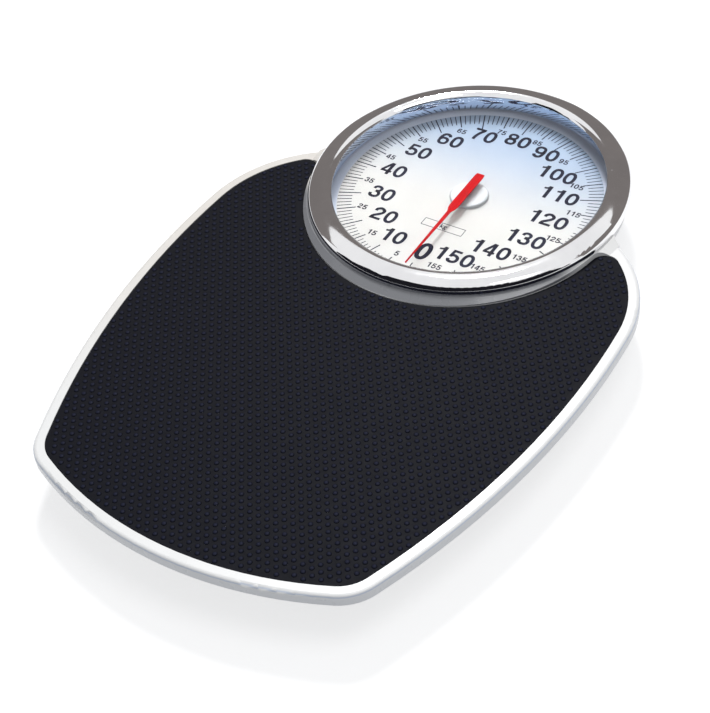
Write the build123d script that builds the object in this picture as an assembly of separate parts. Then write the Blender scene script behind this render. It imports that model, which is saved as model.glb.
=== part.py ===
from build123d import *
import math
import os

# A mechanical bathroom scale with a large round dial.
# It is drawn about the dial's axis, with +X to the right, +Y away from the user and +Z up,
# and every piece is then moved so that the origin is under the middle of the whole scale.

# Plan of the platform, in millimetres, with y measured from the dial's axis
side_radius = 515.0          # long bowed sides
side_waist = 148.3           # half width of the mat at its widest
side_waist_y = -115.0
shoulder_radius = 83.5       # the horns beside the dial
shoulder_turn = math.radians(4.17)
front_radius = 245.0         # bowed front edge
front_reach = 339.0
corner_radius = 24.0
rim_width = 7.3              # white rim round the mat
rim_roll = 2.6               # rounding of the rim's outer edge
cut_radius = 105.5           # the mat's round cut for the head
cut_y = -8.0                 # its middle lies nearer the user than the dial's axis
horn_round = 9.0             # tips of the mat's horns
mat_gap = 0.1

# Head
bezel_radius = 106.8
wall_radius = 104.0
neck_round = 14.0            # hollow between a horn and the head
collar_top_radius = 108.0
collar_foot_radius = 113.6
opening_radius = 98.2
lip_radius = 90.4
lens_radius = 94.6
dial_radius = 96.6
bezel_wall_radius = 95.0     # the upright inner wall round the lens
flange_radius = 102.4
bezel_screw_circle = 100.2
bezel_screw_radius = 1.2
bezel_screw_head = 2.0

# Heights above the floor
foot_height = 4.0
sheet = 1.0
pan_wall_top = 34.5
skirt_bottom = 33.0
deck_under = 37.0
deck_top = 38.4
mat_top = 40.0
rim_top = 40.3
ledge_under = 41.8
ledge_top = 43.2
flange_top = 44.0
gasket_low = 45.2
lens_low = 46.0
lens_top = 48.0
bezel_top = 51.0
pointer_level = 39.6
pointer_thickness = 0.6
reflector_low = 34.6
dial_top = 33.2
dial_thickness = 0.8

# Base pan
pan_inset = 25.8
pan_corner = 10.0
cover_wall = 1.6
rib_width = 7.0
rib_height = 0.8
rib_lines = [(-100, -245, -105), (100, -245, -105), (-22, -290, -165), (22, -290, -165)]

# Motion, from no load to the full 160 kg
platform_travel = 1.0
lever_ratio = 8.0
plate_travel = platform_travel * lever_ratio
pinion_pitch_radius = 1.8
pinion_teeth = 10

# Levers
front_fulcrum_x = 76.0
front_fulcrum_y = -284.0
rear_fulcrum_x = 104.0
rear_fulcrum_y = -66.0
tower_y = -128.0
long_tip_x = 24.0
long_tip_y = -132.0
load_arm = (long_tip_y - front_fulcrum_y) / lever_ratio
meeting_y = (front_fulcrum_y + rear_fulcrum_y) / 2
lever_width = 8.0
lever_height = 6.0
lever_wall = 1.2
lever_overrun = 6.0          # past the outermost pivots
long_lever_z = 19.0          # height of the long levers' pivots
short_lever_z = 26.0
pivot_radius = 1.5
pivot_half_length = 11.0
tip_half_length = 4.0
tip_lift = 0.3               # free gap under each lever's tip
ear_gap = 8.4                # from the lever's middle to each ear
ear_thickness = 1.2
ear_half_width = 3.5
bearing_play = 0.08
rivet_radius = 1.5
rivet_hole = 1.6

# Spring, plate and zero setting
plate_z = 13.4
plate_thickness = 2.0
spring_radius = 6.9
spring_wire = 2.0
spring_turns = 4.5
spring_gap = 0.3
anchor_gap = 0.8             # room for the anchor's way down
anchor_z = 29.5
anchor_thickness = 2.0
tower_half_width = 38.0
tower_half_depth = 7.0
tower_sheet = 1.5
tower_bar_z = 33.0
zero_screw_radius = 2.0
zero_wheel_radius = 11.0
zero_wheel_low = 0.9
zero_wheel_top = 3.6
zero_wheel_grips = 24

# Bell crank and rack
crank_x = 14.0
crank_y = -111.0
crank_z = 12.9
crank_half_sheet = 0.75
toe_arm = 12.0
toe_radius = 1.2
rack_travel = 2 * math.pi * pinion_pitch_radius
crank_swing = math.asin(plate_travel / 2 / toe_arm)
rack_arm = rack_travel / 2 / math.sin(crank_swing)
rack_pin_radius = 0.8
rack_z = 25.0
rack_thickness = 1.2
rack_top = rack_z + rack_thickness
rack_root = 2.3              # from the pinion's axis to the foot of the rack's teeth
rack_tip = 1.5
rack_teeth = 15
hook_x = 5.0
hook_y = -52.0
hook_drop = 3.0
return_wire = 0.5
return_radius = 1.6
return_turns = 14

# Movement
bridge_low = 20.0
bridge_top = 21.2
bridge_half = 24.0
bridge_leg_y = 18.0
bridge_foot_x = 27.0
post_place = 19.0
post_radius = 2.5
post_tenon = 1.5
carrier_low = 31.2
carrier_top = dial_top - dial_thickness
nut_low = 29.6
bush_radius = 4.0
boss_radius = 13.0
boss_height = 2.4
arbor_radius = 0.9
arbor_hole = 0.95
arbor_grip = 0.3             # how far the arbor enters the pointer, from below
pillar_place = 46.0

dial_axis_y = (front_reach + rim_width - bezel_radius) / 2
pan_top = foot_height + sheet

nodes = {}


def keep(name, shape):
    """Store one sub-part under its name, moved into the scale's own frame."""
    shape = Pos(0, dial_axis_y, 0) * shape
    shape.label = name
    nodes[name] = shape


def upright(radius, low, high, x=0.0, y=0.0):
    """A cylinder that stands on the height low."""
    return Pos(x, y, (low + high) / 2) * Cylinder(radius, high - low)


def block(x_low, x_high, y_low, y_high, z_low, z_high):
    centre = Pos((x_low + x_high) / 2, (y_low + y_high) / 2, (z_low + z_high) / 2)
    return centre * Box(x_high - x_low, y_high - y_low, z_high - z_low)


def rod_x(radius, x_low, x_high, y, z):
    """A round bar that lies along X."""
    return Pos((x_low + x_high) / 2, y, z) * Rot(0, 90, 0) * Cylinder(radius, x_high - x_low)


def ring(points):
    """A body of revolution about the dial's axis, from (radius, height) points."""
    section = Plane.XZ * make_face(Polyline(*points, close=True))
    return revolve(section, Axis.Z)


def layer(face, low, high):
    """A face in plan made into a slab between two heights."""
    return Pos(0, 0, low) * extrude(face, high - low)


# Outlines in plan

def crossing(centre_a, radius_a, centre_b, radius_b):
    """The point furthest to the right where two circles cross."""
    gap = centre_b - centre_a
    along = (radius_a**2 - radius_b**2 + gap.length**2) / (2 * gap.length)
    aside = math.sqrt(radius_a**2 - along**2)
    unit = gap.normalized()
    foot = centre_a + unit * along
    turned = Vector(-unit.Y, unit.X)
    return max(foot + turned * aside, foot - turned * aside, key=lambda point: point.X)


def arc_about(centre, start, end):
    """The shorter arc about a centre, from one point to another."""
    middle = centre + ((start - centre) + (end - centre)).normalized() * (start - centre).length
    return ThreePointArc(start, middle, end)


def flipped(point):
    return Vector(-point.X, point.Y)


def side_centre():
    return Vector(side_waist - side_radius, side_waist_y)


def shoulder_centre():
    reach = side_radius - shoulder_radius
    return side_centre() + Vector(math.cos(shoulder_turn), math.sin(shoulder_turn)) * reach


def edge_curves(grow, horn):
    """The platform's edge from one horn round the front to the other, grown by some millimetres."""
    side = side_centre()
    shoulder = shoulder_centre()
    front = Vector(0, front_radius - front_reach)
    corner = crossing(side, side_radius - corner_radius, front, front_radius - corner_radius)
    front_end = corner + (corner - front).normalized() * (corner_radius + grow)
    side_start = corner + (corner - side).normalized() * (corner_radius + grow)
    side_end = shoulder + (shoulder - side).normalized() * (shoulder_radius + grow)
    curves = [arc_about(front, flipped(front_end), front_end)]
    for turn in (lambda point: point, flipped):
        curves.append(arc_about(turn(corner), turn(front_end), turn(side_start)))
        curves.append(arc_about(turn(side), turn(side_start), turn(side_end)))
        curves.append(arc_about(turn(shoulder), turn(side_end), turn(horn)))
    return curves


def round_horns(face, horn, radius):
    corners = [
        point for point in face.vertices()
        if abs(abs(point.X) - horn.X) < 0.01 and abs(point.Y - horn.Y) < 0.01
    ]
    return fillet(corners, radius)


def mat_plan(grow, cut, horn_radius):
    """The mat's outline, with the round cut for the head."""
    middle = Vector(0, cut_y)
    horn = crossing(shoulder_centre(), shoulder_radius + grow, middle, cut)
    cut_arc = ThreePointArc(horn, Vector(0, cut_y - cut), flipped(horn))
    face = make_face(edge_curves(grow, horn) + [cut_arc])
    return round_horns(face, horn, horn_radius)


def cover_plan(grow, head_radius, neck):
    """The cover's outline: the edge and the head's arc, with a hollow round at each neck."""
    horn = crossing(shoulder_centre(), shoulder_radius + grow, Vector(0, 0), head_radius)
    head_arc = ThreePointArc(horn, Vector(0, head_radius), flipped(horn))
    face = make_face(edge_curves(grow, horn) + [head_arc])
    return round_horns(face, horn, neck)


# Cover, mat and load brackets

def make_collar(outline):
    """The flat ledge round the polished ring, with a short flare down to the rim's height."""
    inner = opening_radius - 1
    collar = ring([
        (inner, deck_under), (inner, ledge_top), (collar_top_radius, ledge_top),
        (collar_foot_radius, rim_top), (collar_foot_radius, deck_under),
    ])
    return collar & layer(outline, deck_under, ledge_top)


def make_cover():
    outline = cover_plan(rim_width, wall_radius, neck_round)
    shell = layer(outline, skirt_bottom, rim_top)
    shell = fillet(shell.faces().sort_by(Axis.Z)[-1].edges(), rim_roll)
    shell += upright(wall_radius, skirt_bottom, ledge_top)
    shell += make_collar(outline)
    shell -= layer(mat_plan(mat_gap, cut_radius, horn_round + mat_gap), deck_top, ledge_top + 1)
    hollow = cover_plan(rim_width - cover_wall, wall_radius - cover_wall, neck_round + cover_wall)
    shell -= layer(hollow, skirt_bottom - 1, deck_under)
    shell -= upright(wall_radius - cover_wall, deck_under - 1, ledge_under)
    shell -= upright(opening_radius, ledge_under - 1, ledge_top + 1)
    for x, y in bezel_screw_places():
        shell -= upright(bezel_screw_radius + 0.3, ledge_under - 1, ledge_top + 1, x, y)
    return shell


def make_mat():
    mat = layer(mat_plan(0, cut_radius + 2 * mat_gap, horn_round), deck_top, mat_top)
    return fillet(mat.faces().sort_by(Axis.Z)[-1].edges(), 0.4)


def pivot_slot(x, y, z, open_up):
    """A round seat for a pivot, open upwards or downwards, cut through both ears."""
    width = pivot_radius + bearing_play
    end = z + 12 if open_up else z - 12
    half = pivot_half_length + 1
    seat = rod_x(width, x - half, x + half, y, z)
    return seat + block(x - half, x + half, y - width, y + width, min(z, end), max(z, end))


def ear_pair(x, y, z_low, z_high):
    """Two upright ears, one on each side of a lever."""
    ears = []
    for side in (-1, 1):
        inner = x + side * ear_gap
        outer = inner + side * ear_thickness
        low, high = min(inner, outer), max(inner, outer)
        ears.append(block(low, high, y - ear_half_width, y + ear_half_width, z_low, z_high))
    return ears[0] + ears[1]


def make_load_bracket(x, y, pivot_z):
    """A bridge under the deck whose two ears press on a lever's load pivot."""
    outer = ear_gap + ear_thickness
    bridge = block(x - outer, x + outer, y - 6, y + 6, deck_under - 1.5, deck_under)
    return bridge + ear_pair(x, y, pivot_z - 1.6, deck_under) - pivot_slot(x, y, pivot_z, False)


# Levers

def long_line(sign):
    """The long lever's fulcrum and tip in plan, on the right for sign 1."""
    return sign * front_fulcrum_x, front_fulcrum_y, sign * long_tip_x, long_tip_y


def point_on(line, y):
    """The point of a lever's line that lies at a given y."""
    start_x, start_y, end_x, end_y = line
    return start_x + (end_x - start_x) * (y - start_y) / (end_y - start_y), y


def short_line(sign):
    """The short lever's fulcrum, and the place where it rests on the long lever."""
    meeting = point_on(long_line(sign), meeting_y)
    return sign * rear_fulcrum_x, rear_fulcrum_y, *meeting


def make_lever(line, pivot_z):
    """A folded channel, open below, that runs a little past both its end points."""
    start = Vector(*line[:2])
    end = Vector(*line[2:])
    along = end - start
    middle = (start + end) / 2
    length = along.length + 2 * lever_overrun
    place = Pos(middle.X, middle.Y, pivot_z) * Rot(0, 0, math.degrees(math.atan2(along.Y, along.X)))
    channel = Box(length, lever_width, lever_height)
    channel -= Pos(0, 0, -lever_wall) * Box(length + 1, lever_width - 2 * lever_wall, lever_height)
    return place * channel


def pivot(x, y, z, half_length):
    return rod_x(pivot_radius, x - half_length, x + half_length, y, z)


def add_lever(name, side, line, load_point, pivot_z, tip_z):
    """One lever with its fulcrum pivot, its load pivot and the pin that it presses with."""
    pins = [pivot(x, y, pivot_z, pivot_half_length) for x, y in (line[:2], load_point)]
    pins.append(pivot(*line[2:], tip_z, tip_half_length))
    lever = make_lever(line, pivot_z)
    for pin in pins:
        lever -= pin
    keep(name + "_lever_" + side, lever)
    keep(name + "_lever_pivots_" + side, Compound(pins))


def add_levers():
    long_tip_z = plate_z + plate_thickness + pivot_radius + tip_lift
    short_tip_z = long_lever_z + lever_height / 2 + pivot_radius + tip_lift + 0.05
    for side, sign in (("left", -1), ("right", 1)):
        front, rear = load_points(sign)
        add_lever("long", side, long_line(sign), front, long_lever_z, long_tip_z)
        add_lever("short", side, short_line(sign), rear, short_lever_z, short_tip_z)


def load_points(sign):
    """Where the deck presses on the long and on the short lever of one side."""
    front = point_on(long_line(sign), front_fulcrum_y + load_arm)
    rear = point_on(short_line(sign), rear_fulcrum_y - load_arm)
    return front, rear


def front_fulcrums():
    return [(sign * front_fulcrum_x, front_fulcrum_y) for sign in (-1, 1)]


def rear_fulcrums():
    return [(sign * rear_fulcrum_x, rear_fulcrum_y) for sign in (-1, 1)]


def make_fulcrum_bracket(x, y, pivot_z):
    """Two ears on the pan's floor that carry a lever's fulcrum pivot."""
    outer = ear_gap + ear_thickness
    foot = block(x - outer, x + outer, y - 5, y + 5, pan_top, pan_top + ear_thickness)
    bracket = foot + ear_pair(x, y, pan_top, pivot_z + 2) - pivot_slot(x, y, pivot_z, True)
    return bracket - rivet_hole_at(x, y)


# Base pan, feet and rivets

def foot_places():
    return [(-80, -296), (80, -296), (-97, -46), (97, -46)]


def pillar_places():
    return [(x, y) for x in (-pillar_place, pillar_place) for y in (-pillar_place, pillar_place)]


def tower_rivet_places():
    return [(sign * (tower_half_width + 7), tower_y) for sign in (-1, 1)]


def bridge_rivet_places():
    return [(x, y) for x in (-bridge_foot_x, bridge_foot_x) for y in (-bridge_leg_y, bridge_leg_y)]


def rivet_places():
    places = front_fulcrums() + rear_fulcrums() + tower_rivet_places() + bridge_rivet_places()
    places.append((crank_x, crank_y + 9))
    return places


def rivet_hole_at(x, y):
    """A hole for a rivet through a bracket's foot or the pan's floor."""
    return upright(rivet_hole, foot_height - 1, pan_top + ear_thickness + 1, x, y)


def rib(x, y_low, y_high, width, z_low, z_high):
    """A long bar with round ends, which lies along Y."""
    bar = block(x - width / 2, x + width / 2, y_low, y_high, z_low, z_high)
    return bar + upright(width / 2, z_low, z_high, x, y_low) + upright(width / 2, z_low, z_high, x, y_high)


def make_pan():
    grow = rim_width - pan_inset
    head = wall_radius - pan_inset
    outer = cover_plan(grow, head, pan_corner)
    inner = cover_plan(grow - sheet, head - sheet, pan_corner)
    pan = layer(outer, foot_height, pan_wall_top) - layer(inner, pan_top, pan_wall_top + 1)
    pan = fillet(pan.faces().sort_by(Axis.Z)[0].edges(), 0.8)
    for x, y_low, y_high in rib_lines:
        pan += rib(x, y_low, y_high, rib_width, pan_top, pan_top + rib_height)
        pan -= rib(x, y_low, y_high, rib_width - 2, foot_height - 1, foot_height + rib_height)
    for x, y in rivet_places():
        pan -= rivet_hole_at(x, y)
    for x, y in foot_places():
        pan -= upright(2.6, 0, pan_top + 1, x, y)
    pan -= upright(zero_screw_radius + 0.4, 0, pan_top + 1, 0, tower_y)
    return pan - upright(dial_radius + 1.6, carrier_low - 0.6, pan_wall_top + 1)


def make_foot(x, y):
    """A rubber foot with a plug that snaps through the pan's floor."""
    pad = fillet(upright(9, 0, foot_height, x, y).edges().sort_by(Axis.Z)[:1], 1.0)
    stem = upright(2.5, foot_height, pan_top, x, y)
    return pad + stem + upright(4, pan_top, pan_top + 1.5, x, y)


def make_rivet(x, y):
    """A flat rivet through the pan's floor and a bracket's foot."""
    flange = pan_top + ear_thickness
    shank = upright(rivet_radius, foot_height, flange, x, y)
    low_head = upright(2.8, foot_height - 0.8, foot_height, x, y)
    return shank + low_head + upright(2.8, flange, flange + 1, x, y)


# Main spring, its tower and the zero setting

def coil(radius, wire, turns, pitch, steps=4):
    """A helical wire from z = 0 upwards about Z, on arcs of a quarter turn."""
    def at(turn):
        angle = 2 * math.pi * turn
        return Vector(radius * math.cos(angle), radius * math.sin(angle), pitch * turn)

    arcs = []
    for index in range(round(turns * steps)):
        start = index / steps
        arcs.append(ThreePointArc(at(start), at(start + 0.5 / steps), at(start + 1 / steps)))
    path = Wire(arcs)
    section = Plane(origin=path @ 0, z_dir=path % 0) * Circle(wire / 2)
    print("coil gap to itself", round(pitch - wire, 2))
    return sweep(section, path)


def make_main_spring():
    low = plate_z + plate_thickness + spring_gap + spring_wire / 2
    high = anchor_z - anchor_gap - spring_wire / 2
    pitch = (high - low) / spring_turns
    return Pos(0, tower_y, low) * coil(spring_radius, spring_wire, spring_turns, pitch)


def make_spring_plate():
    plate = block(-34, 34, tower_y - 8, tower_y + 7, plate_z, plate_z + plate_thickness)
    return plate - upright(zero_screw_radius + 0.6, plate_z - 1, plate_z + 3, 0, tower_y)


def make_tower():
    """A tall bridge over the spring plate, with slots that guide the spring's anchor."""
    outer = tower_half_width + tower_sheet
    front = tower_y - tower_half_depth
    back = tower_y + tower_half_depth
    bar_top = tower_bar_z + tower_sheet
    tower = block(-outer, outer, front, back, tower_bar_z, bar_top)
    for side in (-1, 1):
        leg = side * (tower_half_width + tower_sheet / 2)
        half_leg = tower_sheet / 2
        tower += block(leg - half_leg, leg + half_leg, front, back, pan_top, bar_top)
        foot = side * (tower_half_width + 6)
        tower += block(foot - 6, foot + 6, front, back, pan_top, pan_top + ear_thickness)
        tower -= block(leg - 2, leg + 2, tower_y - 3.2, tower_y + 3.2, anchor_z - 1, anchor_z + 3)
    for x, y in tower_rivet_places():
        tower -= rivet_hole_at(x, y)
    return tower - upright(zero_screw_radius + bearing_play, tower_bar_z - 1, bar_top + 1, 0, tower_y)


def make_anchor():
    """The cross piece that holds the spring's upper end and rides on the zero screw."""
    top = anchor_z + anchor_thickness
    anchor = block(-36, 36, tower_y - 6, tower_y + 6, anchor_z, top)
    anchor += block(-39.5, 39.5, tower_y - 3, tower_y + 3, anchor_z, top)
    return anchor - upright(zero_screw_radius + bearing_play, anchor_z - 1, top + 1, 0, tower_y)


def make_zero_screw():
    bar_top = tower_bar_z + tower_sheet
    screw = upright(zero_screw_radius, 2.0, bar_top + 1.0, 0, tower_y)
    return screw + upright(3.6, bar_top + 0.1, bar_top + 1.0, 0, tower_y)


def make_zero_wheel():
    """A thumb wheel with a knurled edge, under the pan's floor."""
    wheel = upright(zero_wheel_radius, zero_wheel_low, zero_wheel_top, 0, tower_y)
    for index in range(zero_wheel_grips):
        angle = 2 * math.pi * index / zero_wheel_grips
        x = zero_wheel_radius * math.cos(angle)
        y = tower_y + zero_wheel_radius * math.sin(angle)
        wheel -= upright(0.7, 0, zero_wheel_top + 1, x, y)
    return wheel - upright(zero_screw_radius, 2.0, zero_wheel_top + 1, 0, tower_y)


# Bell crank, rack and pointer

def crank_point(arm, angle):
    """A point on the crank in the YZ plane, at rest. Angle 0 is towards the user."""
    turned = angle - crank_swing
    return crank_y - arm * math.cos(turned), crank_z - arm * math.sin(turned)


def rack_pin_point():
    return crank_point(rack_arm, -math.pi / 2)


def make_toe_strip():
    """The crank's bent arm, which rises over the spring plate's edge and comes down on it."""
    toe_y, toe_z = crank_point(toe_arm, 0)
    return make_face(
        Polyline(
            (crank_y - 2.4, crank_z - 1.6), (crank_y + 1.5, crank_z + 2.5), (crank_y - 4, crank_z + 8),
            (toe_y - 1.2, toe_z + 1.6), (toe_y - 1.2, toe_z), (toe_y + 1.2, toe_z),
            (crank_y - 5, crank_z + 4.4), close=True,
        )
    )


def make_arm_strip():
    """The crank's tall arm, up to the pin that drives the rack."""
    foot = Vector(crank_y, crank_z)
    top = Vector(*rack_pin_point())
    along = (top - foot).normalized()
    side = Vector(-along.Y, along.X)
    return make_face(
        Polyline(foot + side * 2.4, top + side * 1.4, top - side * 1.4, foot - side * 2.4, close=True)
    )


def make_bell_crank():
    low = crank_x - crank_half_sheet
    high = crank_x + crank_half_sheet
    plan = Plane.YZ.offset(low)
    crank = extrude(plan * make_toe_strip(), high - low) + extrude(plan * make_arm_strip(), high - low)
    crank += rod_x(toe_radius, low, high, *crank_point(toe_arm, 0))
    crank += rod_x(1.4, low, high, *rack_pin_point())
    crank += rod_x(rack_pin_radius, crank_x - 5.5, low, *rack_pin_point())
    crank += rod_x(3, crank_x - 2.8, crank_x + 2.8, crank_y, crank_z)
    return crank - rod_x(pivot_radius + 0.05, crank_x - 4, crank_x + 4, crank_y, crank_z)


def make_crank_bracket():
    """Two ears on the pan's floor, with a foot that is riveted behind them."""
    foot_top = pan_top + ear_thickness
    back = crank_y + 13
    bracket = block(crank_x - 5.6, crank_x + 5.6, crank_y - 3, back, pan_top, foot_top)
    bracket -= rivet_hole_at(crank_x, crank_y + 9)
    spring_post = block(hook_x, hook_x + 1.2, back - 1.6, back, pan_top, rack_z - 0.6)
    bracket += spring_post + block(hook_x, 9.0, back - 1.6, back, pan_top, foot_top)
    for side in (-1, 1):
        ear = crank_x + side * 5
        bracket += block(ear - 0.6, ear + 0.6, crank_y - 3, crank_y + 3, pan_top, crank_z + 3)
    return bracket - rod_x(pivot_radius, crank_x - 8, crank_x + 8, crank_y, crank_z)


def make_crank_pin():
    pin = rod_x(pivot_radius, crank_x - 6.2, crank_x + 6.2, crank_y, crank_z)
    return pin + rod_x(2.4, crank_x + 5.6, crank_x + 6.6, crank_y, crank_z)


def make_rack_tooth(y):
    flank = make_face(
        Polyline(
            (rack_root, y - 0.33), (rack_tip, y - 0.1), (rack_tip, y + 0.1), (rack_root, y + 0.33),
            (rack_root + 0.2, y), close=True,
        )
    )
    return Pos(0, 0, rack_z) * extrude(flank, rack_thickness)


def make_rack():
    """A flat strip with teeth beside the pinion and an upright tab at the crank's end."""
    pitch = 2 * math.pi * pinion_pitch_radius / pinion_teeth
    pin_y, pin_z = rack_pin_point()
    strip = block(4.0, crank_x - 3.0, pin_y - 2.5, 18, rack_z, rack_top)
    strip += block(rack_root, 4.0, -4, 18, rack_z, rack_top)
    for index in range(rack_teeth):
        strip += make_rack_tooth((index - 2.5) * pitch)
    tab = block(crank_x - 4.2, crank_x - 3.0, pin_y - 2.5, pin_y + 2.5, rack_z, pin_z + 2.6)
    slot = block(crank_x - 5, crank_x - 2, pin_y - 0.95, pin_y + 0.95, pin_z - 1.0, pin_z + 2.0)
    hook = block(hook_x, hook_x + 1.2, hook_y, hook_y + 2, rack_z - hook_drop, rack_z)
    return strip + (tab - slot) + hook


def make_return_spring():
    """A light spring that draws the rack towards the user, on a line under it."""
    start = crank_y + 13.2 + return_wire / 2
    end = hook_y - 0.2 - return_wire / 2
    spring = coil(return_radius, return_wire, return_turns, (end - start) / return_turns)
    return Pos(hook_x + 0.6, start, rack_z - 2.2) * Rot(-90, 0, 0) * spring


def make_pinion():
    """A ten-tooth pinion about the arbor, with a tooth space facing the rack's tooth."""
    low = rack_z - 0.4
    height = 2.0
    pinion = upright(1.3, low, low + height)
    flank = make_face(
        Polyline((1.1, -0.3), (1.8, -0.2), (2.1, -0.08), (2.1, 0.08), (1.8, 0.2), (1.1, 0.3), close=True)
    )
    for index in range(pinion_teeth):
        pinion += Rot(0, 0, 360 * index / pinion_teeth) * Pos(0, 0, low) * extrude(flank, height)
    return pinion - upright(arbor_radius, low - 1, low + height + 1)


def make_arbor():
    return upright(arbor_radius, bridge_low - 0.8, pointer_level + arbor_grip)


def make_pointer():
    """A pointer with a broad tail and a long thin taper, which points at the user when at rest."""
    right = [(2.7, 16.5), (3.15, 14.0), (3.15, -19.0), (2.6, -22.5), (1.3, -26.0), (0.45, -81.0)]
    left = [(-x, y) for x, y in reversed(right)]
    top = pointer_level + pointer_thickness
    pointer = layer(make_face(Polyline(*right, *left, close=True)), pointer_level, top)
    pointer += upright(1.8, pointer_level - 1.6, pointer_level)
    return pointer - upright(arbor_radius, pointer_level - 2, pointer_level + arbor_grip)


# Dial and the movement's frame

def make_bridge():
    """The lower plate of the movement, on four legs that stand on the pan's floor."""
    bridge = block(-bridge_half, bridge_half, -bridge_half, bridge_half, bridge_low, bridge_top)
    foot_top = pan_top + ear_thickness
    for x_side in (-1, 1):
        for y_side in (-1, 1):
            y_low = y_side * bridge_leg_y - 5
            y_high = y_side * bridge_leg_y + 5
            leg_x = x_side * (bridge_half - 0.6)
            bridge += block(leg_x - 0.6, leg_x + 0.6, y_low, y_high, pan_top, bridge_top)
            foot_x = x_side * bridge_foot_x
            bridge += block(foot_x - 4.2, foot_x + 4.2, y_low, y_high, pan_top, foot_top)
    for x, y in bridge_rivet_places():
        bridge -= rivet_hole_at(x, y)
    for x, y in post_places():
        bridge -= upright(post_tenon, bridge_low - 1, bridge_top + 1, x, y)
    return bridge - upright(arbor_hole, bridge_low - 1, bridge_top + 1)


def post_places():
    return [(x, y) for x in (-post_place, post_place) for y in (-post_place, post_place)]


def make_post(x, y):
    """A shouldered post that carries the dial carrier above the bridge."""
    tenon = upright(post_tenon, bridge_low - 0.6, carrier_top - 0.2, x, y)
    return tenon + upright(post_radius, bridge_top, carrier_low, x, y)


def make_rack_guide():
    """A small channel on the bridge that keeps the rack level and beside the pinion."""
    low = 22.2
    top = 28.2
    guide = block(7.3, 12.2, -6, 6, bridge_top, low)
    guide += block(5.0, 12.2, -6, 6, low, rack_z - 0.1)
    guide += block(11.2, 12.2, -6, 6, low, top)
    return guide + block(6.0, 12.2, -6, 6, rack_top + 0.1, top)


def make_carrier():
    """The upper plate of the movement, which the dial lies on."""
    carrier = block(-bridge_half, bridge_half, -bridge_half, bridge_half, carrier_low, carrier_top)
    for x, y in post_places():
        carrier -= upright(post_tenon, carrier_low - 1, carrier_top + 1, x, y)
    return carrier - upright(bush_radius, carrier_low - 1, carrier_top + 1)


def make_pillar(x, y):
    """A moulded pillar under the outer part of the dial."""
    foot_top = pan_top + 2
    return upright(5.5, pan_top, foot_top, x, y) + upright(3.5, foot_top, carrier_top, x, y)


def make_dial():
    return upright(dial_radius, carrier_top, dial_top) - upright(bush_radius, carrier_top - 1, dial_top + 1)


def make_hub_bush():
    """The pale round boss in the middle of the dial, with the arbor's upper bearing."""
    boss_top = dial_top + boss_height
    boss = fillet(upright(boss_radius, dial_top, boss_top).edges().sort_by(Axis.Z)[-1:], 1.2)
    stem = upright(bush_radius, nut_low, dial_top)
    return boss + stem - upright(arbor_hole, nut_low - 1, boss_top + 1)


def make_bush_nut():
    nut = layer(RegularPolygon(7.5, 6), nut_low, carrier_low)
    return nut - upright(bush_radius, nut_low - 1, carrier_low + 1)


# Bezel, reflector, lens and gasket

def bezel_screw_places():
    angles = [math.radians(45 + 90 * index) for index in range(4)]
    return [(bezel_screw_circle * math.cos(angle), bezel_screw_circle * math.sin(angle)) for angle in angles]


def make_bezel():
    """The broad polished ring, hollow below, with a lip over the lens."""
    lip_top = (lip_radius, 48.7)
    crown = (94.8, bezel_top)
    shoulder = (104.2, 49.0)
    edge = (106.6, 45.2)
    inner = bezel_wall_radius
    section = make_face(
        Polyline((lip_radius, lens_top), lip_top)
        + ThreePointArc(lip_top, (92.2, 50.3), crown)
        + ThreePointArc(crown, (99.8, 50.5), shoulder)
        + ThreePointArc(shoulder, (105.9, 47.4), edge)
        + Polyline(
            edge, (bezel_radius, ledge_top), (flange_radius + 0.2, ledge_top),
            (flange_radius + 0.2, flange_top), (inner, flange_top), (inner, lens_top),
            (lip_radius, lens_top),
        )
    )
    bezel = revolve(Plane.XZ * section, Axis.Z)
    under = ledge_top - 1
    bezel -= ring([(97.2, under), (104.6, under), (104.6, 45.3), (103.1, 47.0), (97.2, 47.8)])
    for x, y in bezel_screw_places():
        bezel += upright(2.1, flange_top, 48.3, x, y)
        bezel -= upright(bezel_screw_radius + 0.1, ledge_top, 47.0, x, y)
    return bezel


def make_reflector():
    """The bright inner wall between lens and dial, with a flange that the bezel clamps."""
    wall = 0.8
    foot = 94.6
    top = 96.6
    reflector = ring([
        (foot, reflector_low), (top, flange_top), (top + wall, flange_top), (foot + wall, reflector_low),
    ])
    reflector += ring([
        (top, ledge_top), (flange_radius, ledge_top), (flange_radius, flange_top), (top, flange_top),
    ])
    for x, y in bezel_screw_places():
        reflector -= upright(bezel_screw_radius + 0.3, ledge_top - 1, flange_top + 1, x, y)
    return reflector


def make_gasket():
    inner = 92.8
    outer = bezel_wall_radius
    return ring([(inner, gasket_low), (outer, gasket_low), (outer, lens_low), (inner, lens_low)])


def make_lens():
    lens = upright(lens_radius, lens_low, lens_top)
    return chamfer(lens.edges().sort_by(Axis.Z)[-1:], 0.3)


def make_bezel_screw(x, y):
    head = upright(bezel_screw_head, ledge_under - 1.8, ledge_under, x, y)
    return head + upright(bezel_screw_radius, ledge_under, 46.6, x, y)


def place_all(make, places, *heights):
    """Several like pieces in one node."""
    return Compound([make(x, y, *heights) for x, y in places])


# All the pieces, in the order in which the scale is put together
front_loads, rear_loads = zip(load_points(-1), load_points(1))

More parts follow.
